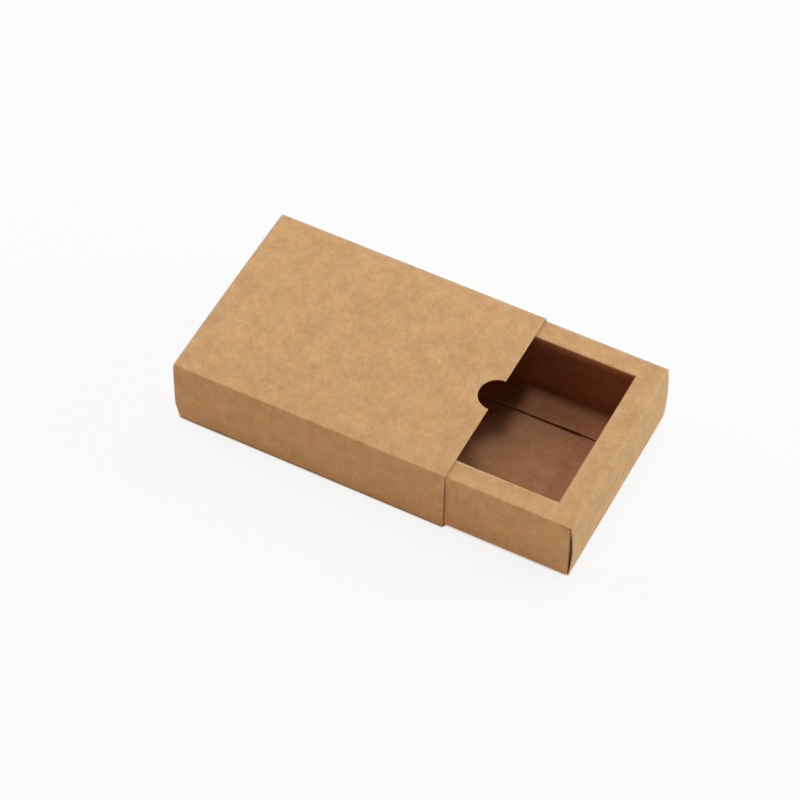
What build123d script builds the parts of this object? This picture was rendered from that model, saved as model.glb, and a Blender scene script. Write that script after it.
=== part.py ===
"""Sliding drawer gift box of kraft board.

An open-ended glued sleeve with a half-round thumb notch holds a drawer tray.  The tray is folded from one
blank: each of its four walls goes up from the base, turns inwards as a flat rim, comes down again as an inner
wall and ends in a floor flap, so the walls are hollow.  Tabs on the ends of the side walls close its upright
corners.

Every panel between two creases is a solid of its own.  Neighbours meet face to face on the middle of their
crease, and each carries its half of the rounded fold.

Millimetres.  +X is to the right, the drawer comes out towards -Y, +Z is up.
The origin is the centre of the sleeve's underside, and the drawer stands part open.
"""

import os

from build123d import *

# --- Board ----------------------------------------------------------------------------------------
board = 0.4                   # thickness of the kraft board
fold_radius = 0.7             # radius on the outside of a creased fold
glue_film = 0.05              # adhesive between the sleeve's glue flap and its bottom panel
lay_gap = 0.05                # air left between two boards that lie on one another
cut_gap = 0.1                 # hairline between two cut edges that meet at a corner

# --- Sleeve ---------------------------------------------------------------------------------------
sleeve_length = 110.0
sleeve_width = 83.0
sleeve_height = 29.3
notch_radius = 7.2            # half-round thumb notch in the mouth of the top panel
glue_flap_width = 14.0
glue_flap_end_inset = 4.0     # how far the glue flap's free edge stops short of the sleeve's ends
glue_film_width = 9.0
bottom_edge_inset = 0.5       # bottom panel's cut edge, in from the right side face

# --- Drawer tray ----------------------------------------------------------------------------------
side_clearance = 0.15         # running gap on each side
under_clearance = 0.1         # running gap over the glue flap
top_clearance = 0.2           # running gap below the top panel
end_inset = 0.25              # tray's end face in from the sleeve's mouth when it is shut
drawer_extension = 49.5       # tray's front face out of the sleeve's mouth as the box is set down
side_rim_width = 8.95
end_rim_width = 9.4
end_wall_bow = 1.1            # outward bulge of the end walls at mid height
end_wall_edge_inset = 0.1     # end wall's upright cut edges, in from the tray's side faces
floor_flap_width = 14.0
floor_flap_end_gap = 0.5      # floor flap's ends, in from the inner walls beside them
corner_tab_width = 18.0
corner_tab_taper = 3.0        # how much the tab's free edge is shorter at the top and at the bottom
corner_tab_setback = 0.15     # air between a corner tab and the end wall in front of it

# --- Worked out from the above --------------------------------------------------------------------
back_radius = fold_radius - board               # radius on the inside of a fold
glue_flap_bottom = board + glue_film
tray_bottom = glue_flap_bottom + board + under_clearance
tray_top = sleeve_height - board - top_clearance
tray_height = tray_top - tray_bottom
tray_length = sleeve_length - 2 * end_inset
tray_width = sleeve_width - 2 * (board + side_clearance)
tray_centre_y = -sleeve_length / 2 - drawer_extension + tray_length / 2
base_top = tray_bottom + board
end_flap_top = base_top + lay_gap + board
side_flap_top = end_flap_top + lay_gap + board
tab_setback = board + corner_tab_setback        # side wall's upright fold, in from the end wall's outer face


def crease_inset(crease):
    """How far the flat of a panel stops short of the corner that its outer faces would meet in."""
    return {"cut": 0.0, "out": fold_radius, "in": back_radius}[crease]


def draw_crease(corner, heading, crease):
    """End a panel's outline at X = corner: the outer face's arc, the cut through the board, the back's arc.

    heading is +1 at the panel's far end and -1 at its near end.  A crease goes "out" when the next panel
    turns away from the outer face, "in" when it turns towards it, and "cut" is the bare edge of the board.
    """
    if crease == "cut":
        Line((corner, 0), (corner, -board))
        return
    centre_x = corner - heading * crease_inset(crease)
    if crease == "out":
        centre = (centre_x, -fold_radius)
        face_radius, rear_radius, flat_angle = fold_radius, back_radius, 90
    else:
        centre = (centre_x, back_radius)
        face_radius, rear_radius, flat_angle = back_radius, fold_radius, -90
    half_turn = -45 if (crease == "out") == (heading > 0) else 45
    face_arc = CenterArc(centre, face_radius, flat_angle, half_turn)
    rear_arc = CenterArc(centre, rear_radius, flat_angle, half_turn)
    Line(face_arc @ 1, rear_arc @ 1)


def panel_section(length, near_crease, far_crease):
    """Cross-section of a panel along +X, with its outer face on Y = 0 and the board below that."""
    near = crease_inset(near_crease)
    far = length - crease_inset(far_crease)
    with BuildSketch() as section:
        with BuildLine():
            draw_crease(0, -1, near_crease)
            draw_crease(length, 1, far_crease)
            Line((near, 0), (far, 0))
            Line((near, -board), (far, -board))
        make_face()
    return section.sketch


def bowed_section(length, bow):
    """Cross-section of a panel between two outward creases whose flat bulges by bow."""
    flat_end = length - fold_radius
    with BuildSketch() as section:
        with BuildLine():
            draw_crease(0, -1, "out")
            draw_crease(length, 1, "out")
            ThreePointArc((fold_radius, 0), (length / 2, bow), (flat_end, 0))
            ThreePointArc((fold_radius, -board), (length / 2, bow - board), (flat_end, -board))
        make_face()
    return section.sketch


def upright_plane(centre, outward):
    """Upright section plane: local X points outward from the centre, local Y points up."""
    return Plane(origin=centre, x_dir=outward, z_dir=outward.cross(Vector(0, 0, 1)))


def finish(piece, name):
    """Name a finished piece and write it as one STEP file."""
    piece.part.label = name
    export_step(piece.part, f"parts/{name}.step")


# --- Sleeve ---------------------------------------------------------------------------------------

SLEEVE_SECTION = Plane.XZ
half_sleeve = sleeve_width / 2


def make_sleeve_top_panel():
    """Top panel, creased along both sides, with the thumb notch in its front edge."""
    with BuildPart() as panel:
        with BuildSketch(SLEEVE_SECTION):
            with Locations((-half_sleeve, sleeve_height)):
                add(panel_section(sleeve_width, "out", "out"))
        extrude(amount=sleeve_length / 2, both=True)
        with BuildSketch(Plane.XY.offset(sleeve_height - fold_radius)):
            with Locations((0, -sleeve_length / 2)):
                Circle(notch_radius)
        extrude(amount=sleeve_height, mode=Mode.SUBTRACT)
    finish(panel, "sleeve_top_panel")


def make_sleeve_left_side():
    """Left side panel, creased to the top panel and to the bottom panel."""
    with BuildPart() as panel:
        with BuildSketch(SLEEVE_SECTION):
            with Locations((-half_sleeve, 0)):
                add(panel_section(sleeve_height, "out", "out"), rotation=90)
        extrude(amount=sleeve_length / 2, both=True)
    finish(panel, "sleeve_left_side")


def make_sleeve_right_side():
    """Right side panel, creased to the top panel and, one board up from the underside, to the glue flap."""
    with BuildPart() as panel:
        with BuildSketch(SLEEVE_SECTION):
            with Locations((half_sleeve, sleeve_height)):
                add(panel_section(sleeve_height - glue_flap_bottom, "out", "out"), rotation=-90)
        extrude(amount=sleeve_length / 2, both=True)
    finish(panel, "sleeve_right_side")


def make_sleeve_bottom_panel():
    """Bottom panel, creased to the left side; its right edge is cut and laps under the glue flap."""
    with BuildPart() as panel:
        with BuildSketch(SLEEVE_SECTION):
            with Locations((half_sleeve - bottom_edge_inset, 0)):
                add(panel_section(sleeve_width - bottom_edge_inset, "cut", "out"), rotation=180)
        extrude(amount=sleeve_length / 2, both=True)
    finish(panel, "sleeve_bottom_panel")


def make_sleeve_glue_flap():
    """Glue flap on the foot of the right side, lying on the bottom panel, with its free corners cut back."""
    free_x = half_sleeve - glue_flap_width
    root_x = half_sleeve - fold_radius
    half_root = sleeve_length / 2
    half_free = half_root - glue_flap_end_inset
    with BuildPart() as flap:
        with BuildSketch(SLEEVE_SECTION):
            with Locations((half_sleeve, glue_flap_bottom)):
                add(panel_section(glue_flap_width, "out", "cut"), rotation=180)
        extrude(amount=half_root, both=True)
        with BuildSketch(Plane.XY):
            with BuildLine():
                Polyline(
                    (half_sleeve, -half_root), (half_sleeve, half_root), (root_x, half_root),
                    (free_x, half_free), (free_x, -half_free), (root_x, -half_root), close=True,
                )
            make_face()
        extrude(amount=sleeve_height, mode=Mode.INTERSECT)
    finish(flap, "sleeve_glue_flap")


def make_sleeve_glue_line():
    """Strip of adhesive between the glue flap and the bottom panel."""
    centre_x = half_sleeve - (glue_flap_width + fold_radius) / 2
    with BuildPart() as film:
        with BuildSketch(Plane.XY.offset(board)):
            with Locations((centre_x, 0)):
                Rectangle(glue_film_width, sleeve_length - 2 * glue_flap_end_inset)
        extrude(amount=glue_film)
    finish(film, "sleeve_glue_line")


# --- Drawer tray ----------------------------------------------------------------------------------

half_width = tray_width / 2
half_length = tray_length / 2
half_opening_x = half_width - side_rim_width
half_opening_y = half_length - end_rim_width
TRAY_CENTRE = Vector(0, tray_centre_y, 0)
SIDES = {"left": Vector(-1, 0, 0), "right": Vector(1, 0, 0)}
ENDS = {"front": Vector(0, -1, 0), "rear": Vector(0, 1, 0)}


def make_drawer_base():
    """Base of the tray, creased to all four outer walls."""
    with BuildPart() as base:
        with BuildSketch(upright_plane(TRAY_CENTRE, SIDES["right"])):
            with Locations((half_width, tray_bottom)):
                add(panel_section(tray_width, "out", "out"), rotation=180)
        extrude(amount=half_length - tab_setback - fold_radius, both=True)
        with BuildSketch(upright_plane(TRAY_CENTRE, ENDS["rear"])):
            with Locations((half_length, tray_bottom)):
                add(panel_section(tray_length, "out", "out"), rotation=180)
        extrude(amount=half_width - fold_radius, both=True)
    finish(base, "drawer_base")


def make_side_outer_wall(name, outward):
    """Outer wall on a long side: creased to the base, to its rim and, upright, to a corner tab at each end."""
    half_span = half_length - tab_setback
    with BuildPart() as wall:
        with BuildSketch(upright_plane(TRAY_CENTRE, outward)):
            with Locations((half_width, tray_top)):
                add(panel_section(tray_height, "out", "out"), rotation=-90)
        extrude(amount=half_span - fold_radius, both=True)
        plan = Plane(
            origin=TRAY_CENTRE + outward * half_width + Vector(0, -half_span, tray_bottom + fold_radius),
            x_dir=(0, 1, 0),
            z_dir=Vector(0, 1, 0).cross(outward),
        )
        rise = tray_height - 2 * fold_radius
        with BuildSketch(plan):
            add(panel_section(2 * half_span, "out", "out"))
        extrude(amount=rise * plan.z_dir.Z)
    finish(wall, f"{name}_outer_wall")


def make_end_outer_wall(name, outward):
    """Outer wall on a short end: creased to the base and to its rim, bulging a little, with cut upright edges."""
    with BuildPart() as wall:
        with BuildSketch(upright_plane(TRAY_CENTRE, outward)):
            with Locations((half_length, tray_top)):
                add(bowed_section(tray_height, end_wall_bow), rotation=-90)
        extrude(amount=half_width - end_wall_edge_inset, both=True)
    finish(wall, f"{name}_outer_wall")


def make_rim(name, outward, reach, half_run, rim_width, half_opening):
    """Flat rim over one hollow wall, folded down along both long edges and mitred at both ends."""
    across = Vector(0, 0, 1).cross(outward)
    plan = Plane(origin=TRAY_CENTRE, x_dir=outward, z_dir=(0, 0, 1))
    with BuildPart() as rim:
        with BuildSketch(upright_plane(TRAY_CENTRE, outward)):
            with Locations((reach - rim_width, tray_top)):
                add(panel_section(rim_width, "out", "out"))
        extrude(amount=half_run, both=True)
        with BuildSketch(plan):
            with BuildLine():
                Polyline(
                    (reach, half_run - cut_gap / 2), (reach - rim_width, half_opening - cut_gap / 2),
                    (reach - rim_width, cut_gap / 2 - half_opening), (reach, cut_gap / 2 - half_run), close=True,
                )
            make_face()
        extrude(amount=sleeve_height, mode=Mode.INTERSECT)
    finish(rim, f"{name}_rim")


def make_inner_wall(name, outward, opening_reach, half_run, foot):
    """Inner wall round the drawer's space: creased to its rim above and, inwards, to its floor flap."""
    with BuildPart() as wall:
        with BuildSketch(upright_plane(TRAY_CENTRE, outward)):
            with Locations((opening_reach, foot)):
                add(panel_section(tray_top - foot, "in", "out"), rotation=90)
        extrude(amount=half_run - cut_gap, both=True)
    finish(wall, f"{name}_inner_wall")


def make_floor_flap(name, outward, opening_reach, half_run, top):
    """Floor flap at the foot of an inner wall, lying on the base or on the flaps below it."""
    with BuildPart() as flap:
        with BuildSketch(upright_plane(TRAY_CENTRE, outward)):
            with Locations((opening_reach - floor_flap_width, top)):
                add(panel_section(floor_flap_width, "cut", "in"))
        extrude(amount=half_run - floor_flap_end_gap, both=True)
    finish(flap, f"{name}_floor_flap")


def make_corner_tab(end_name, end_outward, side_name, side_outward):
    """Tab on the end of a side wall, folded in behind the end wall, its free edge narrowed."""
    corner = TRAY_CENTRE + side_outward * half_width + end_outward * (half_length - tab_setback)
    low = tray_bottom + fold_radius
    high = tray_top - fold_radius
    section_plane = Plane(
        origin=corner + Vector(0, 0, low),
        x_dir=side_outward * -1,
        z_dir=(side_outward * -1).cross(end_outward),
    )
    face_plane = Plane(origin=corner, x_dir=side_outward * -1, z_dir=end_outward)
    upward = face_plane.y_dir.Z
    with BuildPart() as tab:
        with BuildSketch(section_plane):
            add(panel_section(corner_tab_width, "out", "cut"))
        extrude(amount=(high - low) * section_plane.z_dir.Z)
        with BuildSketch(face_plane):
            with BuildLine():
                Polyline(
                    (0, upward * low), (fold_radius, upward * low),
                    (corner_tab_width, upward * (low + corner_tab_taper)),
                    (corner_tab_width, upward * (high - corner_tab_taper)),
                    (fold_radius, upward * high), (0, upward * high), close=True,
                )
            make_face()
        extrude(amount=sleeve_width, both=True, mode=Mode.INTERSECT)
    finish(tab, f"{end_name}_{side_name}_corner_tab")


def make_sleeve():
    make_sleeve_top_panel()
    make_sleeve_left_side()
    make_sleeve_right_side()
    make_sleeve_bottom_panel()
    make_sleeve_glue_flap()
    make_sleeve_glue_line()


def make_drawer():
    make_drawer_base()
    for name, outward in SIDES.items():
        make_side_outer_wall(name, outward)
        make_rim(name, outward, half_width, half_length, side_rim_width, half_opening_y)
        make_inner_wall(name, outward, half_opening_x, half_opening_y, side_flap_top)
        make_floor_flap(name, outward, half_opening_x, half_opening_y, side_flap_top)
    for name, outward in ENDS.items():
        make_end_outer_wall(name, outward)
        make_rim(name, outward, half_length, half_width, end_rim_width, half_opening_x)
        make_inner_wall(name, outward, half_opening_y, half_opening_x, end_flap_top)
        make_floor_flap(name, outward, half_opening_y, half_opening_x, end_flap_top)
    for end_name, end_outward in ENDS.items():
        for side_name, side_outward in SIDES.items():
            make_corner_tab(end_name, end_outward, side_name, side_outward)


os.makedirs("parts", exist_ok=True)
make_sleeve()
make_drawer()
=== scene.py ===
"""Sliding drawer gift box of kraft board: its board panels, their finish, and the stage it is shown on.

Every panel is laid out flat as one grid, its creased edges are spun down or up by half a fold, it is given the
board's thickness, and it is turned into the place of the solid that it stands for.
"""

import math

import bpy
from mathutils import Matrix, Quaternion, Vector, kdtree


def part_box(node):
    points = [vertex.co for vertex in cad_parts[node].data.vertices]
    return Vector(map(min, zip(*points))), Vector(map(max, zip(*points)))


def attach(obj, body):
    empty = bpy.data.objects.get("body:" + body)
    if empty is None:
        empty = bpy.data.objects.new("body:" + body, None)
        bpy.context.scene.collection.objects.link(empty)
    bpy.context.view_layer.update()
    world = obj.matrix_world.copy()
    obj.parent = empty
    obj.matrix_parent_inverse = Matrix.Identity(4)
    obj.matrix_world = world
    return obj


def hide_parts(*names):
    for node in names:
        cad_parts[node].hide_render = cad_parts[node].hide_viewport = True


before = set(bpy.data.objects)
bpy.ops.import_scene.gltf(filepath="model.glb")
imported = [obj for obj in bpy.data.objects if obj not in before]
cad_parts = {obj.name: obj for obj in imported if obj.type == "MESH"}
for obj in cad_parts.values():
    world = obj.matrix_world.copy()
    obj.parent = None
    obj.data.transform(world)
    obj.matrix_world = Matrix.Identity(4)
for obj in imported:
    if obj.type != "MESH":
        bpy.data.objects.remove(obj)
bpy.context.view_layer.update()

bl_info = {
    "name": "Kraft Drawer Box",
    "version": (1, 0, 0),
    "blender": (4, 5, 0),
    "location": "View3D > Sidebar > Drawer Box",
    "description": "Folds the board panels of a sliding drawer gift box and sets up its studio stage",
    "category": "Add Mesh",
}

MM = 0.001
RIGHT, BACK, UP = Vector((1, 0, 0)), Vector((0, 1, 0)), Vector((0, 0, 1))
TINY = 1e-6
HALF_FOLD = math.radians(45)            # each panel carries half of a right-angled fold
FOLD_STEPS = 8                          # facets in half a fold
SHARP = math.radians(40)                # edges that turn more than this stay sharp
WEAR_REACH = 1.2 * MM                   # how far in from a fold or a cut edge the board is worn
FLAP_WIDTH = 14 * MM                    # of the tray's floor flaps
TAB_TAPER = 3 * MM                      # how far each side of a corner tab slopes in
GLUE_FLAP_TAPER = 4 * MM                # how far each end of the glue flap slopes in


def low(node):
    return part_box(node)[0]


def high(node):
    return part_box(node)[1]


# --- Sizes a user would change ------------------------------------------------------------------------

def length_property(name, description, default):
    return bpy.props.FloatProperty(name=name, description=description, default=default, unit="LENGTH", precision=5)


def color_property(name, description, default):
    return bpy.props.FloatVectorProperty(name=name, description=description, default=default, subtype="COLOR", size=3,
                                         min=0, max=1)


class BoardSettings(bpy.types.PropertyGroup):
    """The sheet that the box is cut from."""

    thickness: length_property("Board thickness", "Thickness of the kraft board", 0.4 * MM)
    fold_radius: length_property("Fold radius", "Radius on the outside of a creased fold", 0.7 * MM)
    edge_rounding: length_property("Edge rounding", "How far the die rolls over a cut edge", 0.06 * MM)
    cell: length_property("Cell size", "Size of the cells that a flat panel is divided into", 3.4 * MM)
    cockle: length_property("Cockle", "Height of the uneven waves in a loose panel", 0.16 * MM)
    face_color: color_property("Face", "Liner on the outside of the board", (0.579, 0.347, 0.158))
    # Painted shade: the face liner darkened and reddened to stand for the shade inside the tray, on its inner walls
    # and floor flaps
    shaded_inner_color: color_property("Inner face", "The same liner inside the tray, where light has not faded it",
                                (0.403, 0.177, 0.082))
    # Partly the reverse liner's own greyer colour and partly painted shade: darkened to stand for the shade on the
    # tray's floor
    back_color_and_shade: color_property("Back", "Liner on the inside of the board", (0.458, 0.228, 0.106))
    core_color: color_property("Core", "Fibres that show on a cut edge", (0.66, 0.45, 0.26))


class SleeveSettings(bpy.types.PropertyGroup):
    """The open-ended sleeve."""

    notch_radius: length_property("Notch radius", "Half-round thumb notch in the mouth of the top panel", 7.2 * MM)
    top_crown: length_property("Top crown", "How far the top panel swells at mid width", 0.4 * MM)
    side_crown: length_property("Side crown", "How far the side panels swell at mid height", 0.3 * MM)
    corner_wear: length_property("Corner wear", "How far the end of the rear corner's fold is worn back", 1.2 * MM)


class TraySettings(bpy.types.PropertyGroup):
    """The drawer tray."""

    bow_left: length_property("Bow, left", "Bulge of an end wall at its left upright edge", 1.05 * MM)
    bow_right: length_property("Bow, right", "Bulge of an end wall at its right upright edge", 0.6 * MM)
    wall_slack: length_property("Wall slack", "How far the side walls sink in at mid height", 0.3 * MM)
    flap_lift: length_property("Flap lift", "How far the right floor flap's free edge stands up", 0.8 * MM)


class StageSettings(bpy.types.PropertyGroup):
    """Camera, lamps and floor."""

    azimuth: bpy.props.FloatProperty(name="Azimuth", description="Camera's angle round the box",
                                     default=math.radians(-63.4657), unit="ROTATION")
    elevation: bpy.props.FloatProperty(name="Elevation", description="Camera's angle above the floor",
                                       default=math.radians(51.3311), unit="ROTATION")
    roll: bpy.props.FloatProperty(name="Roll", description="Camera's turn about its own view",
                                  default=math.radians(0.9556), unit="ROTATION")
    target: bpy.props.FloatVectorProperty(name="Target", description="Point on the floor that the camera looks at",
                                          default=(3.2657 * MM, -14.5983 * MM, 0), subtype="TRANSLATION")
    distance: length_property("Distance", "From the target to the camera", 1.234778)
    lens: bpy.props.FloatProperty(name="Lens", description="Focal length on a 36 mm sensor", default=150.158,
                                  unit="CAMERA")
    floor_color: color_property("Floor", "White floor", (0.80, 0.80, 0.80))
    shadow_share: bpy.props.FloatProperty(name="Shadow share", description="How much of the floor's shading the "
                                          "camera sees; the rest is plain white", default=0.12, min=0, max=1,
                                          subtype="FACTOR")
    sky: bpy.props.FloatProperty(name="Sky", description="Strength of the even light from all round", default=0.02)


# --- Bench: one panel at a time -----------------------------------------------------------------------
# A panel lies flat with its outer face on Z = 0 and the board below it.  X runs across it from its near to its far
# side, Y along it from its low to its high end.

def hold(obj, edit=False):
    """Make obj the only selected object, in object or edit mode."""
    if bpy.context.mode != "OBJECT":
        bpy.ops.object.mode_set(mode="OBJECT")
    bpy.ops.object.select_all(action="DESELECT")
    obj.select_set(True)
    bpy.context.view_layer.objects.active = obj
    if edit:
        bpy.ops.object.mode_set(mode="EDIT")


def pick(obj, kind, test):
    """Select, in edit mode, only the vertices, edges or faces of obj whose corner points pass a test."""
    hold(obj, edit=True)
    bpy.ops.mesh.select_mode(type={"vertices": "VERT", "edges": "EDGE", "polygons": "FACE"}[kind])
    bpy.ops.mesh.select_all(action="DESELECT")
    bpy.ops.object.mode_set(mode="OBJECT")
    points = obj.data.vertices
    for item in getattr(obj.data, kind):
        corners = [item.index] if kind == "vertices" else item.vertices
        item.select = test([points[i].co for i in corners])
    bpy.ops.object.mode_set(mode="EDIT")


def slice_sheet(obj, point, normal, trim=False):
    """Cut obj along a plane, and drop what lies on the normal's side of it if trim is set."""
    hold(obj, edit=True)
    bpy.ops.mesh.select_all(action="SELECT")
    bpy.ops.mesh.bisect(plane_co=point, plane_no=normal, clear_outer=trim, threshold=TINY)


def apply_modifier(obj, kind, **settings):
    hold(obj)
    modifier = obj.modifiers.new(kind.lower(), kind)
    for key, value in settings.items():
        setattr(modifier, key, value)
    bpy.ops.object.modifier_apply(modifier=modifier.name)


class Panel:
    """One panel of board between its creases and cut edges."""

    count = 0

    def __init__(self, board, width, run, near="cut", far="cut", low="cut", high="cut", fold_run=None):
        self.board, self.width, self.run = board, width, run
        self.creases = {"near": near, "far": far, "low": low, "high": high}
        self.x0, self.x1 = self.inset("near"), width - self.inset("far")
        self.y0, self.y1 = self.inset("low") - run / 2, run / 2 - self.inset("high")
        self.number = Panel.count
        Panel.count += 1
        self.lay_out()
        if fold_run:
            for edge in (-fold_run / 2, fold_run / 2):
                slice_sheet(self.obj, (0, edge, 0), (0, 1, 0))
        self.fold_half = fold_run / 2 if fold_run else run

    def inset(self, side):
        """How far the flat stops short of the corner that its outer face would meet the next one in."""
        fold = self.board.fold_radius
        return {"cut": 0, "out": fold, "in": fold - self.board.thickness}[self.creases[side]]

    def lay_out(self):
        """Add the flat grid, with a narrow row of cells along every side for the wear there."""
        across, along = self.x1 - self.x0, self.y1 - self.y0
        cells = [2 * max(1, round(length / self.board.cell / 2)) for length in (across, along)]
        if bpy.context.mode != "OBJECT":
            bpy.ops.object.mode_set(mode="OBJECT")
        bpy.ops.object.select_all(action="DESELECT")
        bpy.ops.mesh.primitive_grid_add(x_subdivisions=cells[0], y_subdivisions=cells[1], size=1)
        self.obj = bpy.context.object
        bpy.ops.object.mode_set(mode="EDIT")
        bpy.ops.mesh.select_all(action="SELECT")
        bpy.ops.transform.resize(value=(across, along, 1), center_override=(0, 0, 0))
        bpy.ops.transform.translate(value=((self.x0 + self.x1) / 2, (self.y0 + self.y1) / 2, 0))
        for x in (self.x0 + WEAR_REACH, self.x1 - WEAR_REACH):
            slice_sheet(self.obj, (x, 0, 0), (1, 0, 0))
        for y in (self.y0 + WEAR_REACH, self.y1 - WEAR_REACH):
            slice_sheet(self.obj, (0, y, 0), (0, 1, 0))

    def fold(self):
        """Spin every creased side through its half of the fold."""
        board = self.board
        for side, crease in self.creases.items():
            if crease == "cut":
                continue
            outward = crease == "out"
            radius = board.fold_radius if outward else board.fold_radius - board.thickness
            heading = 1 if side in ("far", "high") else -1
            across = side in ("near", "far")
            start = {"near": self.x0, "far": self.x1, "low": self.y0, "high": self.y1}[side]

            def on_side(corners):
                return all(abs(p[0 if across else 1] - start) < TINY and abs(p.z) < TINY
                           and (not across or abs(p.y) < self.fold_half + TINY) for p in corners)

            pick(self.obj, "edges", on_side)
            drop = -radius if outward else radius
            turn = heading * (1 if outward else -1) * HALF_FOLD * (1 if across else -1)
            bpy.ops.mesh.spin(steps=FOLD_STEPS, angle=-turn, use_auto_merge=False,
                              center=(start, 0, drop) if across else (0, start, drop),
                              axis=(0, 1, 0) if across else (1, 0, 0))
        hold(self.obj, edit=True)
        bpy.ops.mesh.select_all(action="SELECT")
        bpy.ops.mesh.remove_doubles(threshold=TINY)
        bpy.ops.mesh.normals_make_consistent(inside=False)
        hold(self.obj)
        flat = max(self.obj.data.polygons, key=lambda face: face.area)
        if flat.normal.z < 0:
            hold(self.obj, edit=True)
            bpy.ops.mesh.select_all(action="SELECT")
            bpy.ops.mesh.flip_normals()
        return self

    def slack(self, x, y):
        """How free the board is to leave its plane: 0 at a fold, 1 at the middle or at a cut edge."""
        free = 1.0
        for value, start, end, first, last in ((x, self.x0, self.x1, "near", "far"),
                                               (y, self.y0, self.y1, "low", "high")):
            t = min(1, max(0, (value - start) / (end - start)))
            held = self.creases[first] != "cut", self.creases[last] != "cut"
            if held == (True, True):
                free *= 1 - (2 * t - 1) ** 4
            elif held == (True, False):
                free *= t * (2 - t)
            elif held == (False, True):
                free *= 1 - t * t
        return free

    def weigh(self, name, weight):
        group = self.obj.vertex_groups.new(name=name)
        for vertex in self.obj.data.vertices:
            group.add([vertex.index], weight(vertex.co.x, vertex.co.y), "REPLACE")

    def place(self, origin, across, outward):
        """Turn the panel so that its X runs across and its face looks outward, with its near side at origin."""
        along = outward.cross(across)
        turn = Matrix((across, along, outward)).transposed().to_4x4()
        self.obj.matrix_world = Matrix.Translation(origin) @ turn
        bpy.context.view_layer.update()
        return self

    def warp(self, crown, cockle=None, shape=None):
        """Let the panel swell by crown where it is slack, with shallow uneven waves over that."""
        hold(self.obj)
        self.weigh("slack", shape or self.slack)
        if crown:
            apply_modifier(self.obj, "DISPLACE", direction="Z", space="LOCAL", mid_level=0, strength=crown,
                           vertex_group="slack")
        cockle = self.board.cockle if cockle is None else cockle
        if cockle:
            apply_modifier(self.obj, "DISPLACE", direction="Z", space="LOCAL", mid_level=0.5, strength=cockle,
                           vertex_group="slack", texture=cockle_texture(), texture_coords="GLOBAL")
        self.obj.vertex_groups.clear()
        return self

    def thicken(self, face=None, rolled=True):
        """Give the panel the board's thickness, three finishes and, if rolled, rounded cut edges."""
        obj, board = self.obj, self.board
        # The back finish holds the reverse liner's tone together with painted shade
        for finish in (face or face_finish, core_finish, back_and_shade_finish):
            obj.data.materials.append(finish(board))
        apply_modifier(obj, "SOLIDIFY", thickness=board.thickness, offset=-1, use_even_offset=True,
                       use_quality_normals=True, material_offset=2, material_offset_rim=1)
        rims, liners = set(), set()
        self.cut_points = []
        for face in obj.data.polygons:
            if face.material_index != 1:
                liners.update(face.edge_keys)
            elif abs(face.normal.z) < 0.4:      # the middle of a fold is cut on the slant, and stays sharp
                rims.update(face.edge_keys)
                self.cut_points += [obj.data.vertices[i].co.copy() for i in face.vertices]
        if not rolled:
            rims, self.cut_points = set(), []
        arrises = rims & liners
        hold(obj, edit=True)
        bpy.ops.mesh.select_mode(type="EDGE")
        bpy.ops.mesh.select_all(action="DESELECT")
        hold(obj)
        for edge in obj.data.edges:
            edge.select = edge.key in arrises
        if arrises:
            bpy.ops.object.mode_set(mode="EDIT")
            bpy.ops.mesh.bevel(offset=board.edge_rounding, segments=2, affect="EDGES", clamp_overlap=True)
        return self

    def mark_wear(self):
        """Note on every point how near it is to a fold and to a cut edge, and lay the sheet's grain on it."""
        mesh = self.obj.data
        tree = kdtree.KDTree(max(1, len(self.cut_points)))
        for index, point in enumerate(self.cut_points):
            tree.insert(point, index)
        tree.balance()
        folded = mesh.attributes.new("fold", "FLOAT", "POINT")
        edged = mesh.attributes.new("edge", "FLOAT", "POINT")
        sides = {"near": lambda p: p.x - self.x0, "far": lambda p: self.x1 - p.x,
                 "low": lambda p: p.y - self.y0, "high": lambda p: self.y1 - p.y}
        for vertex in mesh.vertices:
            gaps = [gap(vertex.co) for side, gap in sides.items() if self.creases[side] != "cut"]
            folded.data[vertex.index].value = max((min(1, max(0, 1 - gap / WEAR_REACH)) for gap in gaps),
                                                    default=0)
            if self.cut_points:
                edged.data[vertex.index].value = max(0, 1 - tree.find(vertex.co)[2] / WEAR_REACH)
        grain = mesh.uv_layers.new(name="grain")
        for loop in mesh.loops:
            point = mesh.vertices[loop.vertex_index].co
            grain.data[loop.index].uv = (point.x + 0.317 * self.number, point.y + 0.173 * self.number)

    def finish(self, node, body, slot):
        """Shade the panel, fix its place in its mesh and let it stand for its solid."""
        hold(self.obj)
        self.mark_wear()
        self.obj.name = self.obj.data.name = f"{node}_board"
        bpy.ops.object.shade_smooth_by_angle(angle=SHARP)
        bpy.ops.object.transform_apply(location=True, rotation=True, scale=True)
        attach(self.obj, body)
        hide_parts(node)
        return self.obj


def cockle_texture():
    """Shallow uneven waves, some 40 mm across, that board takes up from the air's damp."""
    texture = bpy.data.textures.get("board cockle")
    if not texture:
        texture = bpy.data.textures.new("board cockle", "CLOUDS")
        texture.noise_scale, texture.noise_depth = 0.04, 1
    return texture


def sink_corner(obj, corner, push, reach):
    """Push obj's point nearest a corner, and what lies round it within reach."""
    nearest = min((v.co.copy() for v in obj.data.vertices), key=lambda p: (p - corner).length)
    pick(obj, "vertices", lambda corners: (corners[0] - nearest).length < 0.5 * MM)
    bpy.ops.transform.translate(value=push, use_proportional_edit=True, proportional_edit_falloff="SMOOTH",
                                proportional_size=reach)
    hold(obj)


# --- Finishes -----------------------------------------------------------------------------------------

class Wire:
    """A shader socket that can stand in a sum."""

    def __init__(self, graph, socket):
        self.graph, self.socket = graph, socket

    def maths(self, operation, first, second):
        return self.graph.add("ShaderNodeMath", {"operation": operation}, {0: first, 1: second})

    def __add__(self, other):
        return self.maths("ADD", self, other)

    def __sub__(self, other):
        return self.maths("SUBTRACT", self, other)

    def __mul__(self, other):
        return self.maths("MULTIPLY", self, other)

    def __rsub__(self, other):
        return self.maths("SUBTRACT", other, self)

    __radd__, __rmul__ = __add__, __mul__


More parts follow.
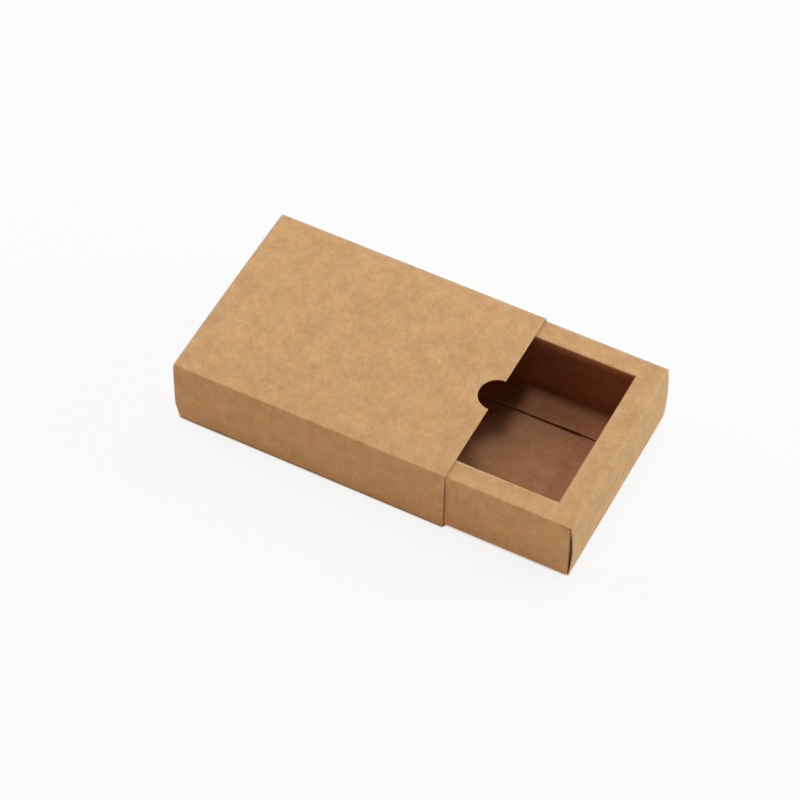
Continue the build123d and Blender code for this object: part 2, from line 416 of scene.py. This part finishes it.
class Graph:
    """The nodes of one material or world."""

    def __init__(self, holder):
        holder.use_nodes = True
        self.tree = holder.node_tree
        self.tree.nodes.clear()

    def add(self, kind, settings=None, sockets=None, output=0):
        """Add a node of a kind with its settings, then the values or wires of its sockets; gives one output."""
        node = self.tree.nodes.new(kind)
        for key, value in (settings or {}).items():
            setattr(node, key, value)
        for key, value in (sockets or {}).items():
            if isinstance(value, Wire):
                self.tree.links.new(value.socket, node.inputs[key])
            else:
                node.inputs[key].default_value = value
        return Wire(self, node.outputs[output]) if node.outputs else None

    def noise(self, place, scale, detail=2.0, roughness=0.5, flat=False):
        """Cloudy noise round 0, with blotches 1 / scale across."""
        settings = {"noise_dimensions": "2D" if flat else "3D"}
        return self.add("ShaderNodeTexNoise", settings,
                        {"Vector": place, "Scale": scale, "Detail": detail, "Roughness": roughness}) - 0.5

    def stretch(self, place, turn, squeeze):
        """Turn a flat pattern and squeeze it across, for fibres that lie one way."""
        return self.add("ShaderNodeMapping", {"vector_type": "TEXTURE"},
                        {"Vector": place, "Rotation": (0, 0, turn), "Scale": (1, 1 / squeeze, 1)})

    def bend(self, place, scale, reach):
        """Push a pattern to and fro, so that what it draws is not straight."""
        sway = self.add("ShaderNodeTexNoise", {"noise_dimensions": "2D"}, {"Vector": place, "Scale": scale}, output=1)
        moved = self.add("ShaderNodeVectorMath", {"operation": "SCALE"}, {0: sway, "Scale": reach})
        return self.add("ShaderNodeVectorMath", {"operation": "ADD"}, {0: place, 1: moved})

    def fibres(self, place, turn, length, share):
        """1 on single fibres that lie about one way, and 0 between them; share is how sparse they are."""
        streaks = self.noise(self.stretch(place, turn, 16), 1 / length, 1, flat=True)
        return self.between(streaks, share, share + 0.06)

    def between(self, value, bottom, top):
        """0 below bottom, 1 above top, and a smooth rise between them."""
        return self.add("ShaderNodeMapRange", {"interpolation_type": "SMOOTHSTEP"},
                        {"Value": value, "From Min": bottom, "From Max": top})

    def blend(self, factor, first, second):
        return self.add("ShaderNodeMix", {"data_type": "RGBA", "clamp_result": False},
                        {0: factor, 6: first, 7: second}, output=2)

    def dim(self, color, factor):
        return self.add("ShaderNodeVectorMath", {"operation": "SCALE"}, {0: color, "Scale": factor})

    def multiply(self, color, other):
        return self.add("ShaderNodeVectorMath", {"operation": "MULTIPLY"}, {0: color, 1: other})


def tint(color, red=1.0, green=1.0, blue=1.0):
    return (color[0] * red, color[1] * green, color[2] * blue, 1)


# Shares of a liner's colour where its pulp lies thick, where it lies thin, where it is warmer, and where it is worn
THICK, THIN, WARM, WORN = (0.76, 0.70, 0.57), (1.24, 1.30, 1.43), (1.045, 0.984, 0.92), (1.14, 1.20, 1.32)
# Turn and number to a metre of the three layers of crossed fibres
LAYERS = ((0.35, 900), (-0.8, 820), (1.5, 980))
# Turn, length and sparseness of the single fibres that stand out
DARK_FIBRES = ((1.0, 3.0 * MM, 0.17), (-0.3, 2.6 * MM, 0.18))
PALE_FIBRES = ((-1.2, 2.8 * MM, 0.17), (0.5, 3.2 * MM, 0.18))


def board_finish(name, color, mottle, fibre, wear):
    """Kraft liner: cloudy mottling, crossed fibres, a few dark and pale ones, and pale wear on folds and edges."""
    material = bpy.data.materials.get(name)
    if material:
        return material
    material = bpy.data.materials.new(name)
    graph = Graph(material)
    place = graph.add("ShaderNodeTexCoord", output=3)
    grain = graph.bend(graph.add("ShaderNodeUVMap", {"uv_map": "grain"}), 260, 1.2 * MM)
    fold = graph.add("ShaderNodeAttribute", {"attribute_name": "fold"}, output=2)
    edge = graph.add("ShaderNodeAttribute", {"attribute_name": "edge"}, output=2)

    formation = graph.noise(place, 150, 6, 0.84)
    hue = graph.noise(place, 160, 3)
    layers = [graph.noise(graph.stretch(grain, turn, 6), number, 2, 0.7, flat=True) for turn, number in LAYERS]
    strands = layers[0] + layers[1] + layers[2]
    dark_fibres = graph.fibres(grain, *DARK_FIBRES[0]) + graph.fibres(grain, *DARK_FIBRES[1])
    pale_fibres = graph.fibres(grain, *PALE_FIBRES[0]) + graph.fibres(grain, *PALE_FIBRES[1])
    depth = formation * mottle + strands * fibre - dark_fibres * 0.16 + pale_fibres * 0.13
    toned = graph.blend(0.5 + depth * 1.7, tint(color, *THICK), tint(color, *THIN))
    warm = graph.between(hue, -0.2, 0.2)
    toned = graph.blend(warm, toned, graph.multiply(toned, WARM))
    scuff = (fold * 0.5 + edge * edge * 0.9) * graph.between(formation, -0.12, 0.06) * wear
    shown = graph.blend(scuff, toned, tint(color, *WORN))
    relief = strands * 0.5 + formation * 1.6
    normal = graph.add("ShaderNodeBump", None, {"Strength": 0.35, "Distance": 0.05 * MM, "Height": relief})
    surface = graph.add("ShaderNodeBsdfPrincipled", None, {
        "Base Color": shown, "Roughness": 0.74 + strands * 0.1 + fold * 0.04, "Specular IOR Level": 0.35,
        "Normal": normal})
    graph.add("ShaderNodeOutputMaterial", None, {"Surface": surface})
    return material


def face_finish(board):
    return board_finish("kraft face liner", board.face_color, mottle=1.0, fibre=0.16, wear=0.9)


# Painted shade: the face liner's finish in a darker, redder colour that stands for the shade inside the tray
def shaded_inner_finish(board):
    return board_finish("kraft face liner, unfaded", board.shaded_inner_color, mottle=1.1, fibre=0.16, wear=0.5)


# The back liner's real greyer tone, with painted shade: darker to stand for the shade on the tray's floor and inside
# the sleeve
def back_and_shade_finish(board):
    return board_finish("kraft back liner", board.back_color_and_shade, mottle=1.15, fibre=0.19, wear=0.4)


def core_finish(board):
    """Cut edge of the board: loose pale fibres in layers."""
    name = "kraft cut edge"
    material = bpy.data.materials.get(name)
    if material:
        return material
    material = bpy.data.materials.new(name)
    graph = Graph(material)
    place = graph.add("ShaderNodeTexCoord", output=3)
    nap = graph.noise(place, 2600, 2, 0.6)
    patches = graph.noise(place, 500, 2)
    tone = 1.0 + nap * 0.25 + patches * 0.12
    fibres = graph.blend(graph.between(patches, -0.2, 0.2), tint(board.core_color), tint(board.face_color))
    shown = graph.dim(fibres, tone)
    normal = graph.add("ShaderNodeBump", None, {"Strength": 0.5, "Distance": 0.04 * MM, "Height": nap})
    surface = graph.add("ShaderNodeBsdfPrincipled", None, {
        "Base Color": shown, "Roughness": 0.9 + nap * 0.1, "Specular IOR Level": 0.25, "Normal": normal})
    graph.add("ShaderNodeOutputMaterial", None, {"Surface": surface})
    return material


def glue_finish():
    """Dried paste, half clear and milky."""
    material = bpy.data.materials.new("dried paste")
    graph = Graph(material)
    place = graph.add("ShaderNodeTexCoord", output=3)
    streaks = graph.noise(place, 300, 3)
    shown = graph.blend(graph.between(streaks, -0.2, 0.2), (0.62, 0.52, 0.36, 1), (0.74, 0.66, 0.50, 1))
    normal = graph.add("ShaderNodeBump", None, {"Strength": 0.4, "Distance": 0.02 * MM, "Height": streaks})
    surface = graph.add("ShaderNodeBsdfPrincipled", None, {
        "Base Color": shown, "Roughness": 0.38 + streaks * 0.2, "Normal": normal})
    graph.add("ShaderNodeOutputMaterial", None, {"Surface": surface})
    return material


# --- Places read off the frame ------------------------------------------------------------------------

def fold_lead(board):
    """How far a panel stops short of its corner on the middle of an outward fold."""
    return board.fold_radius * (1 - math.cos(HALF_FOLD))


class SleevePlaces:
    """Sides and edges of the sleeve."""

    def __init__(self):
        self.left, self.right = low("sleeve_left_side").x, high("sleeve_right_side").x
        self.front, self.rear = low("sleeve_top_panel").y, high("sleeve_top_panel").y
        self.bottom, self.top = low("sleeve_bottom_panel").z, high("sleeve_top_panel").z
        self.flap_bottom = low("sleeve_glue_flap").z
        self.flap_edge = low("sleeve_glue_flap").x
        self.bottom_edge = high("sleeve_bottom_panel").x
        self.middle = (self.front + self.rear) / 2
        self.length, self.width, self.height = self.rear - self.front, self.right - self.left, self.top - self.bottom


class TrayPlaces:
    """Sides and edges of the drawer tray."""

    def __init__(self, board):
        lead = fold_lead(board)
        self.half_width = high("right_outer_wall").x
        self.bottom, self.top = low("drawer_base").z, high("left_rim").z
        self.height = self.top - self.bottom
        self.front, self.rear = low("front_rim").y - lead, high("rear_rim").y + lead
        self.half_length = (self.rear - self.front) / 2
        self.centre = Vector((0, (self.front + self.rear) / 2, 0))
        self.opening_x = low("right_rim").x - lead
        self.opening_y = self.rear_opening() - self.centre.y
        self.side_wall_half = high("left_outer_wall").y + lead - self.centre.y
        self.end_wall_half = high("front_outer_wall").x

    def rear_opening(self):
        return self.rear - (high("front_rim").y - low("front_rim").y) - 2 * (self.rear - high("rear_rim").y)


SIDES = {"left": -RIGHT, "right": RIGHT}
ENDS = {"front": -BACK, "rear": BACK}


# --- Operators ----------------------------------------------------------------------------------------

class BuildOperator:
    bl_options = {"REGISTER", "UNDO"}


class SleeveTop(BuildOperator, bpy.types.Operator):
    """Fold the sleeve's top panel and cut the thumb notch in its mouth"""

    bl_idname = "drawer_box.sleeve_top"
    bl_label = "Sleeve top"

    def execute(self, context):
        board, sleeve = context.scene.box_board, context.scene.box_sleeve
        at = SleevePlaces()
        panel = Panel(board, at.width, at.length, near="out", far="out")
        self.cut_notch(panel, at.width / 2, sleeve.notch_radius)
        panel.fold().place(Vector((at.left, at.middle, at.top)), RIGHT, UP)
        panel.warp(sleeve.top_crown, cockle=0.2 * MM).thicken()
        panel.finish("sleeve_top_panel", "sleeve", "sleeve_board")
        return {"FINISHED"}

    def cut_notch(self, panel, middle, radius):
        """Clear a block of cells at the mouth, add the half circle and bridge from it to the block's border."""
        obj, mouth = panel.obj, panel.y0
        margin, flatter, off_middle = 2.4 * MM, 0.96, 0.25 * MM
        block = radius + margin
        for x in (middle - block, middle + block):
            slice_sheet(obj, (x, 0, 0), (1, 0, 0))
        slice_sheet(obj, (0, mouth + block, 0), (0, 1, 0))
        pick(obj, "polygons", lambda corners: all(abs(p.x - middle) < block + TINY and p.y < mouth + block + TINY
                                                  for p in corners))
        bpy.ops.mesh.delete(type="FACE")
        bpy.ops.mesh.primitive_circle_add(vertices=64, radius=radius, location=(middle, mouth, 0))
        pick(obj, "vertices", lambda corners: corners[0].y < mouth - TINY)
        bpy.ops.mesh.delete(type="VERT")
        centre = Vector((middle, mouth, 0))
        pick(obj, "vertices", lambda corners: (corners[0] - centre).length < radius + 0.1 * MM)
        bpy.ops.transform.resize(value=(1, flatter, 1), center_override=centre)
        bpy.ops.transform.translate(value=(off_middle, 0, 0))

        def on_arc(p):
            return (p - centre).length < radius + margin / 4

        def on_border(p):
            return p.y < mouth + block + TINY and (abs(abs(p.x - middle) - block) < TINY
                                                   or (abs(p.y - mouth - block) < TINY and abs(p.x - middle) < block))

        pick(obj, "edges", lambda corners: all(map(on_arc, corners)) or all(map(on_border, corners)))
        bpy.ops.mesh.bridge_edge_loops()


class SleeveSides(BuildOperator, bpy.types.Operator):
    """Fold the sleeve's two side panels"""

    bl_idname = "drawer_box.sleeve_sides"
    bl_label = "Sleeve sides"

    def execute(self, context):
        board, sleeve = context.scene.box_board, context.scene.box_sleeve
        at = SleevePlaces()
        left = Panel(board, at.height, at.length, near="out", far="out").fold()
        left.place(Vector((at.left, at.middle, at.bottom)), UP, -RIGHT).warp(sleeve.side_crown).thicken()
        piece = left.finish("sleeve_left_side", "sleeve", "sleeve_board")
        wear_rear_corner(piece, at, sleeve.corner_wear)
        right = Panel(board, at.top - at.flap_bottom, at.length, near="out", far="out").fold()
        right.place(Vector((at.right, at.middle, at.top)), -UP, RIGHT).warp(sleeve.side_crown).thicken()
        right.finish("sleeve_right_side", "sleeve", "sleeve_board")
        return {"FINISHED"}


def wear_rear_corner(piece, at, depth):
    """Wear at the sleeve's rear corner on the left of its foot, the same in both panels that meet there."""
    corner = Vector((at.left, at.rear, at.bottom))
    sink_corner(piece, corner, (0.09 * depth, -depth, 0.06 * depth), 8 * MM)


class SleeveBottom(BuildOperator, bpy.types.Operator):
    """Fold the sleeve's bottom panel and its glue flap, and finish the line of paste between them"""

    bl_idname = "drawer_box.sleeve_bottom"
    bl_label = "Sleeve bottom"

    def execute(self, context):
        board, sleeve = context.scene.box_board, context.scene.box_sleeve
        at = SleevePlaces()
        bottom = Panel(board, at.bottom_edge - at.left, at.length, near="cut", far="out").fold()
        bottom.place(Vector((at.bottom_edge, at.middle, at.bottom)), -RIGHT, -UP)
        near, span = 0.3 * bottom.width, 0.7 * bottom.width     # the part under the glue flap stays flat

        def sag(x, y):
            return max(0, 4 * (x - near) * (bottom.x1 - x)) / span ** 2

        bottom.warp(crown=-0.12 * MM, cockle=0.08 * MM, shape=sag).thicken()
        piece = bottom.finish("sleeve_bottom_panel", "sleeve", "sleeve_board")
        wear_rear_corner(piece, at, sleeve.corner_wear)

        width = at.right - at.flap_edge
        flap = Panel(board, width, at.length, near="out", far="cut")
        root = board.fold_radius
        for end in (-1, 1):
            slope = Vector((GLUE_FLAP_TAPER, end * (width - root), 0)).normalized()
            slice_sheet(flap.obj, (root, end * at.length / 2, 0), slope, trim=True)
        flap.fold().place(Vector((at.right, at.middle, at.flap_bottom)), -RIGHT, -UP).thicken()
        flap.finish("sleeve_glue_flap", "sleeve", "sleeve_board")

        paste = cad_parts["sleeve_glue_line"]
        paste.data.materials.clear()
        paste.data.materials.append(glue_finish())
        return {"FINISHED"}


class TrayBase(BuildOperator, bpy.types.Operator):
    """Fold the base of the drawer tray"""

    bl_idname = "drawer_box.tray_base"
    bl_label = "Tray base"

    def execute(self, context):
        board = context.scene.box_board
        at = TrayPlaces(board)
        base = Panel(board, 2 * at.half_width, 2 * at.half_length, near="out", far="out", low="out", high="out",
                     fold_run=2 * (at.side_wall_half - board.fold_radius)).fold()
        base.place(at.centre + RIGHT * at.half_width + UP * at.bottom, -RIGHT, -UP)

        def between_flaps(x, y):
            inner_x, inner_y = at.opening_x - FLAP_WIDTH, at.opening_y - FLAP_WIDTH
            return max(0, 1 - ((x - at.half_width) / inner_x) ** 2) * max(0, 1 - (y / inner_y) ** 2)

        base.warp(crown=-0.15 * MM, cockle=0, shape=between_flaps).thicken()
        base.finish("drawer_base", "drawer", "drawer_board")
        return {"FINISHED"}


class TrayOuterWalls(BuildOperator, bpy.types.Operator):
    """Fold the four outer walls of the tray; the end walls bulge"""

    bl_idname = "drawer_box.tray_outer_walls"
    bl_label = "Tray outer walls"

    def execute(self, context):
        board, tray = context.scene.box_board, context.scene.box_tray
        at = TrayPlaces(board)
        for name, outward in SIDES.items():
            wall = Panel(board, at.height, 2 * at.side_wall_half, near="out", far="out", low="out", high="out").fold()
            wall.place(at.centre + outward * at.half_width + UP * at.top, -UP, outward)
            wall.warp(-tray.wall_slack, cockle=0.1 * MM).thicken()
            wall.finish(f"{name}_outer_wall", "drawer", "drawer_board")
        for name, outward in ENDS.items():
            wall = Panel(board, at.height, 2 * at.end_wall_half, near="out", far="out").fold()
            wall.place(at.centre + outward * at.half_length + UP * at.top, -UP, outward)
            left_end = -1 if outward.cross(-UP).x > 0 else 1

            def bulge(x, y):
                t = (x - wall.x0) / (wall.x1 - wall.x0)
                share = 0.5 + 0.5 * left_end * y / at.end_wall_half
                height = tray.bow_right + (tray.bow_left - tray.bow_right) * share
                return max(0, 4 * t * (1 - t)) * height / max(tray.bow_left, tray.bow_right)

            wall.warp(max(tray.bow_left, tray.bow_right), cockle=0.12 * MM, shape=bulge).thicken()
            wall.finish(f"{name}_outer_wall", "drawer", "drawer_board")
        return {"FINISHED"}


class TrayRims(BuildOperator, bpy.types.Operator):
    """Fold the flat rims of the tray and mitre their corners"""

    bl_idname = "drawer_box.tray_rims"
    bl_label = "Tray rims"

    def execute(self, context):
        board = context.scene.box_board
        at = TrayPlaces(board)
        half_gap = 0.006 * MM               # a hair's gap on the mitre, so that the rims never share a face
        for name, outward in {**SIDES, **ENDS}.items():
            reach, half_run, opening, half_opening = at.half_width, at.half_length, at.opening_x, at.opening_y
            if name in ENDS:
                reach, half_run, opening, half_opening = half_run, reach, half_opening, opening
            width = reach - opening
            rim = Panel(board, width, 2 * half_run, near="out", far="out").fold()
            for end in (-1, 1):
                inner = Vector((0, end * (half_opening - half_gap), 0))
                outer = Vector((width, end * (half_run - half_gap), 0))
                across = (outer - inner).normalized()
                slice_sheet(rim.obj, inner, (-across.y * end, across.x * end, 0), trim=True)
            rim.place(at.centre + outward * opening + UP * at.top, outward, UP)
            rim.warp(crown=-0.08 * MM, cockle=0.06 * MM).thicken(rolled=False)
            rim.finish(f"{name}_rim", "drawer", "drawer_board")
        return {"FINISHED"}


class TrayInnerWalls(BuildOperator, bpy.types.Operator):
    """Fold the four inner walls round the drawer's space, down to their floor flaps"""

    bl_idname = "drawer_box.tray_inner_walls"
    bl_label = "Tray inner walls"

    def execute(self, context):
        board = context.scene.box_board
        at = TrayPlaces(board)
        for name, outward in {**SIDES, **ENDS}.items():
            sideways = name in SIDES
            opening = at.opening_x if sideways else at.opening_y
            foot = low(f"{name}_floor_flap").z + board.thickness
            run = (high(f"{name}_inner_wall") - low(f"{name}_inner_wall"))[1 if sideways else 0]
            wall = Panel(board, at.top - foot, run, near="in", far="out").fold()
            wall.place(at.centre + outward * opening + UP * foot, UP, -outward)
            # Their liner carries painted shade: darker and redder than the same liner on the outside
            wall.warp(crown=-0.2 * MM, cockle=0.12 * MM).thicken(shaded_inner_finish)
            wall.finish(f"{name}_inner_wall", "drawer", "drawer_board")
        return {"FINISHED"}


class TrayFloorFlaps(BuildOperator, bpy.types.Operator):
    """Fold the four floor flaps; the right one's free edge stands up a little where it climbs the front one"""

    bl_idname = "drawer_box.tray_floor_flaps"
    bl_label = "Tray floor flaps"

    def execute(self, context):
        board, tray = context.scene.box_board, context.scene.box_tray
        at = TrayPlaces(board)
        for name, outward in {**SIDES, **ENDS}.items():
            sideways = name in SIDES
            box_low, box_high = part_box(f"{name}_floor_flap")
            opening = at.opening_x if sideways else at.opening_y
            free = min(abs((p - at.centre).dot(outward)) for p in (box_low, box_high))
            run = (box_high - box_low)[1 if sideways else 0]
            flap = Panel(board, opening - free, run, near="cut", far="in").fold()
            flap.place(at.centre + outward * free + UP * (box_low.z + board.thickness), outward, UP)

            def lift(x, y):
                rise = max(0, 1 - x / flap.x1)
                if name != "right":
                    return rise
                hump, half_hump, all_along = low("front_floor_flap").y + FLAP_WIDTH + 3.5 * MM, 6 * MM, 0.3
                off_hump = (y + at.centre.y - hump) / half_hump
                return rise * (all_along + (1 - all_along) * math.exp(-off_hump ** 2))

            free_edge = {"right": tray.flap_lift, "left": 0.12 * MM}.get(name, 0)
            # Their liner carries painted shade: darker and redder than the same liner on the outside
            flap.warp(free_edge, cockle=0, shape=lift).thicken(shaded_inner_finish)
            flap.finish(f"{name}_floor_flap", "drawer", "drawer_board")
        return {"FINISHED"}


class TrayCornerTabs(BuildOperator, bpy.types.Operator):
    """Fold the tabs that close the tray's upright corners behind the end walls"""

    bl_idname = "drawer_box.tray_corner_tabs"
    bl_label = "Tray corner tabs"

    def execute(self, context):
        board = context.scene.box_board
        at = TrayPlaces(board)
        for end_name, end_outward in ENDS.items():
            for side_name, side_outward in SIDES.items():
                node = f"{end_name}_{side_name}_corner_tab"
                box_low, box_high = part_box(node)
                width = at.half_width - min(abs(box_low.x), abs(box_high.x))
                height = box_high.z - box_low.z
                tab = Panel(board, width, height, near="out", far="cut")
                for end in (-1, 1):
                    slope = Vector((TAB_TAPER, end * (width - board.fold_radius), 0)).normalized()
                    slice_sheet(tab.obj, (board.fold_radius, end * height / 2, 0), slope, trim=True)
                tab.fold()
                corner = at.centre + side_outward * at.half_width + end_outward * at.side_wall_half
                tab.place(corner + UP * (box_low.z + box_high.z) / 2, -side_outward, end_outward)
                tab.warp(crown=-0.3 * MM, cockle=0).thicken()
                tab.finish(node, "drawer", "drawer_board")
        return {"FINISHED"}


LAMPS = (
    # name, place, size across and down (all metres), power in watts, colour
    ("overhead", (0.16, 0.0, 1.0), (0.2, 0.2), 2.2, (1.05, 1.0, 0.95)),
    ("high right", (0.7, 0.0, 0.9), (0.6, 0.6), 3.6, (1.0, 1.0, 1.0)),
    ("high rear", (0.0, 0.8, 0.9), (0.6, 0.6), 1.5, (1.0, 1.0, 1.0)),
    ("rear", (0.1, 1.0, 0.65), (0.6, 0.5), 5.4, (1.03, 1.0, 0.98)),
    ("front right", (0.7, -0.9, 0.45), (0.5, 0.4), 8.2, (0.91, 1.0, 1.05)),
    ("low front", (0.1, -1.2, 0.16), (0.8, 0.25), 1.6, (1.0, 1.0, 1.0)),
    ("low left", (-1.2, -0.1, 0.06), (0.9, 0.10), 3.4, (1.25, 0.96, 0.74)),
)
LAMP_AIM = Vector((0, -0.03, 0))


class Stage(BuildOperator, bpy.types.Operator):
    """Set the camera, the white floor, the soft lamps and the even light round them"""

    bl_idname = "drawer_box.stage"
    bl_label = "Stage"

    def execute(self, context):
        stage = context.scene.box_stage
        context.scene.view_settings.view_transform = "Standard"
        self.set_camera(context, stage)
        self.lay_floor(stage)
        self.hang_lamps()
        self.fill_sky(context, stage)
        return {"FINISHED"}

    def set_camera(self, context, stage):
        flat = math.cos(stage.elevation)
        back = Vector((math.sin(stage.azimuth) * flat, -math.cos(stage.azimuth) * flat, math.sin(stage.elevation)))
        look = (-back).to_track_quat("-Z", "Y") @ Quaternion((0, 0, 1), stage.roll)
        bpy.ops.object.camera_add(location=Vector(stage.target) + back * stage.distance, rotation=look.to_euler())
        camera = context.object
        camera.name = "photo camera"
        camera.data.sensor_width = 36
        camera.data.lens = stage.lens
        context.scene.camera = camera

    def lay_floor(self, stage):
        bpy.ops.mesh.primitive_plane_add(size=40)       # its far edge stays out of every view
        floor = bpy.context.object
        floor.name = "floor"
        material = bpy.data.materials.new("white floor")
        floor.data.materials.append(material)
        graph = Graph(material)
        shaded = graph.add("ShaderNodeBsdfDiffuse", None, {"Color": (*stage.floor_color, 1)})
        white = graph.add("ShaderNodeEmission", None, {"Strength": 1.0})
        contact = 1.2 * MM                              # how far the dark line under the box reaches
        open_sky = graph.add("ShaderNodeAmbientOcclusion", {"samples": 8}, {"Distance": contact}, output=1)
        seen = self.seen_rays(graph) * (1 - stage.shadow_share) * graph.between(open_sky, 0.45, 0.85)
        surface = graph.add("ShaderNodeMixShader", None, {0: seen, 1: shaded, 2: white})
        graph.add("ShaderNodeOutputMaterial", None, {"Surface": surface})

    def seen_rays(self, graph):
        """1 for rays from the camera, a mirror or glass, and 0 for the light that falls on the box."""
        path = graph.add("ShaderNodeLightPath").socket.node
        rays = [Wire(graph, path.outputs[name]) for name in ("Is Camera Ray", "Is Glossy Ray", "Is Transmission Ray")]
        return rays[0].maths("MAXIMUM", rays[0], rays[1].maths("MAXIMUM", rays[1], rays[2]))

    def hang_lamps(self):
        for name, place, (across, down), power, color in LAMPS:
            turn = (LAMP_AIM - Vector(place)).to_track_quat("-Z", "Y").to_euler()
            bpy.ops.object.light_add(type="AREA", location=place, rotation=turn)
            lamp = bpy.context.object
            lamp.name = f"{name} lamp"
            lamp.data.shape = "RECTANGLE"
            lamp.data.size, lamp.data.size_y = across, down
            lamp.data.energy, lamp.data.color = power, color

    def fill_sky(self, context, stage):
        world = bpy.data.worlds.new("studio")
        context.scene.world = world
        graph = Graph(world)
        seen = self.seen_rays(graph)
        strength = seen + (1 - seen) * stage.sky
        surface = graph.add("ShaderNodeBackground", None, {"Color": (1, 1, 1, 1), "Strength": strength})
        graph.add("ShaderNodeOutputWorld", None, {"Surface": surface})


BUILD_ORDER = (SleeveTop, SleeveSides, SleeveBottom, TrayBase, TrayOuterWalls, TrayRims, TrayInnerWalls,
               TrayFloorFlaps, TrayCornerTabs, Stage)


class DrawerBoxPanel(bpy.types.Panel):
    """Sizes, colours and building steps of the drawer box"""

    bl_idname = "VIEW3D_PT_drawer_box"
    bl_label = "Drawer Box"
    bl_space_type = "VIEW_3D"
    bl_region_type = "UI"
    bl_category = "Drawer Box"

    def draw(self, context):
        for label, name in SETTINGS_LABELS.items():
            box = self.layout.box()
            box.label(text=label)
            settings = getattr(context.scene, name)
            for key in type(settings).__annotations__:
                box.prop(settings, key)
        for step in BUILD_ORDER:
            self.layout.operator(step.bl_idname)


SETTINGS = {"box_board": BoardSettings, "box_sleeve": SleeveSettings, "box_tray": TraySettings,
            "box_stage": StageSettings}
SETTINGS_LABELS = {"Board": "box_board", "Sleeve": "box_sleeve", "Tray": "box_tray", "Stage": "box_stage"}


def register():
    for cls in (*SETTINGS.values(), *BUILD_ORDER, DrawerBoxPanel):
        bpy.utils.register_class(cls)
    for name, cls in SETTINGS.items():
        setattr(bpy.types.Scene, name, bpy.props.PointerProperty(type=cls))


def unregister():
    for name in SETTINGS:
        delattr(bpy.types.Scene, name)
    for cls in reversed((*SETTINGS.values(), *BUILD_ORDER, DrawerBoxPanel)):
        bpy.utils.unregister_class(cls)


def main():
    register()
    for step in BUILD_ORDER:
        group, name = step.bl_idname.split(".")
        getattr(getattr(bpy.ops, group), name)()


if __name__ == "__main__":
    main()
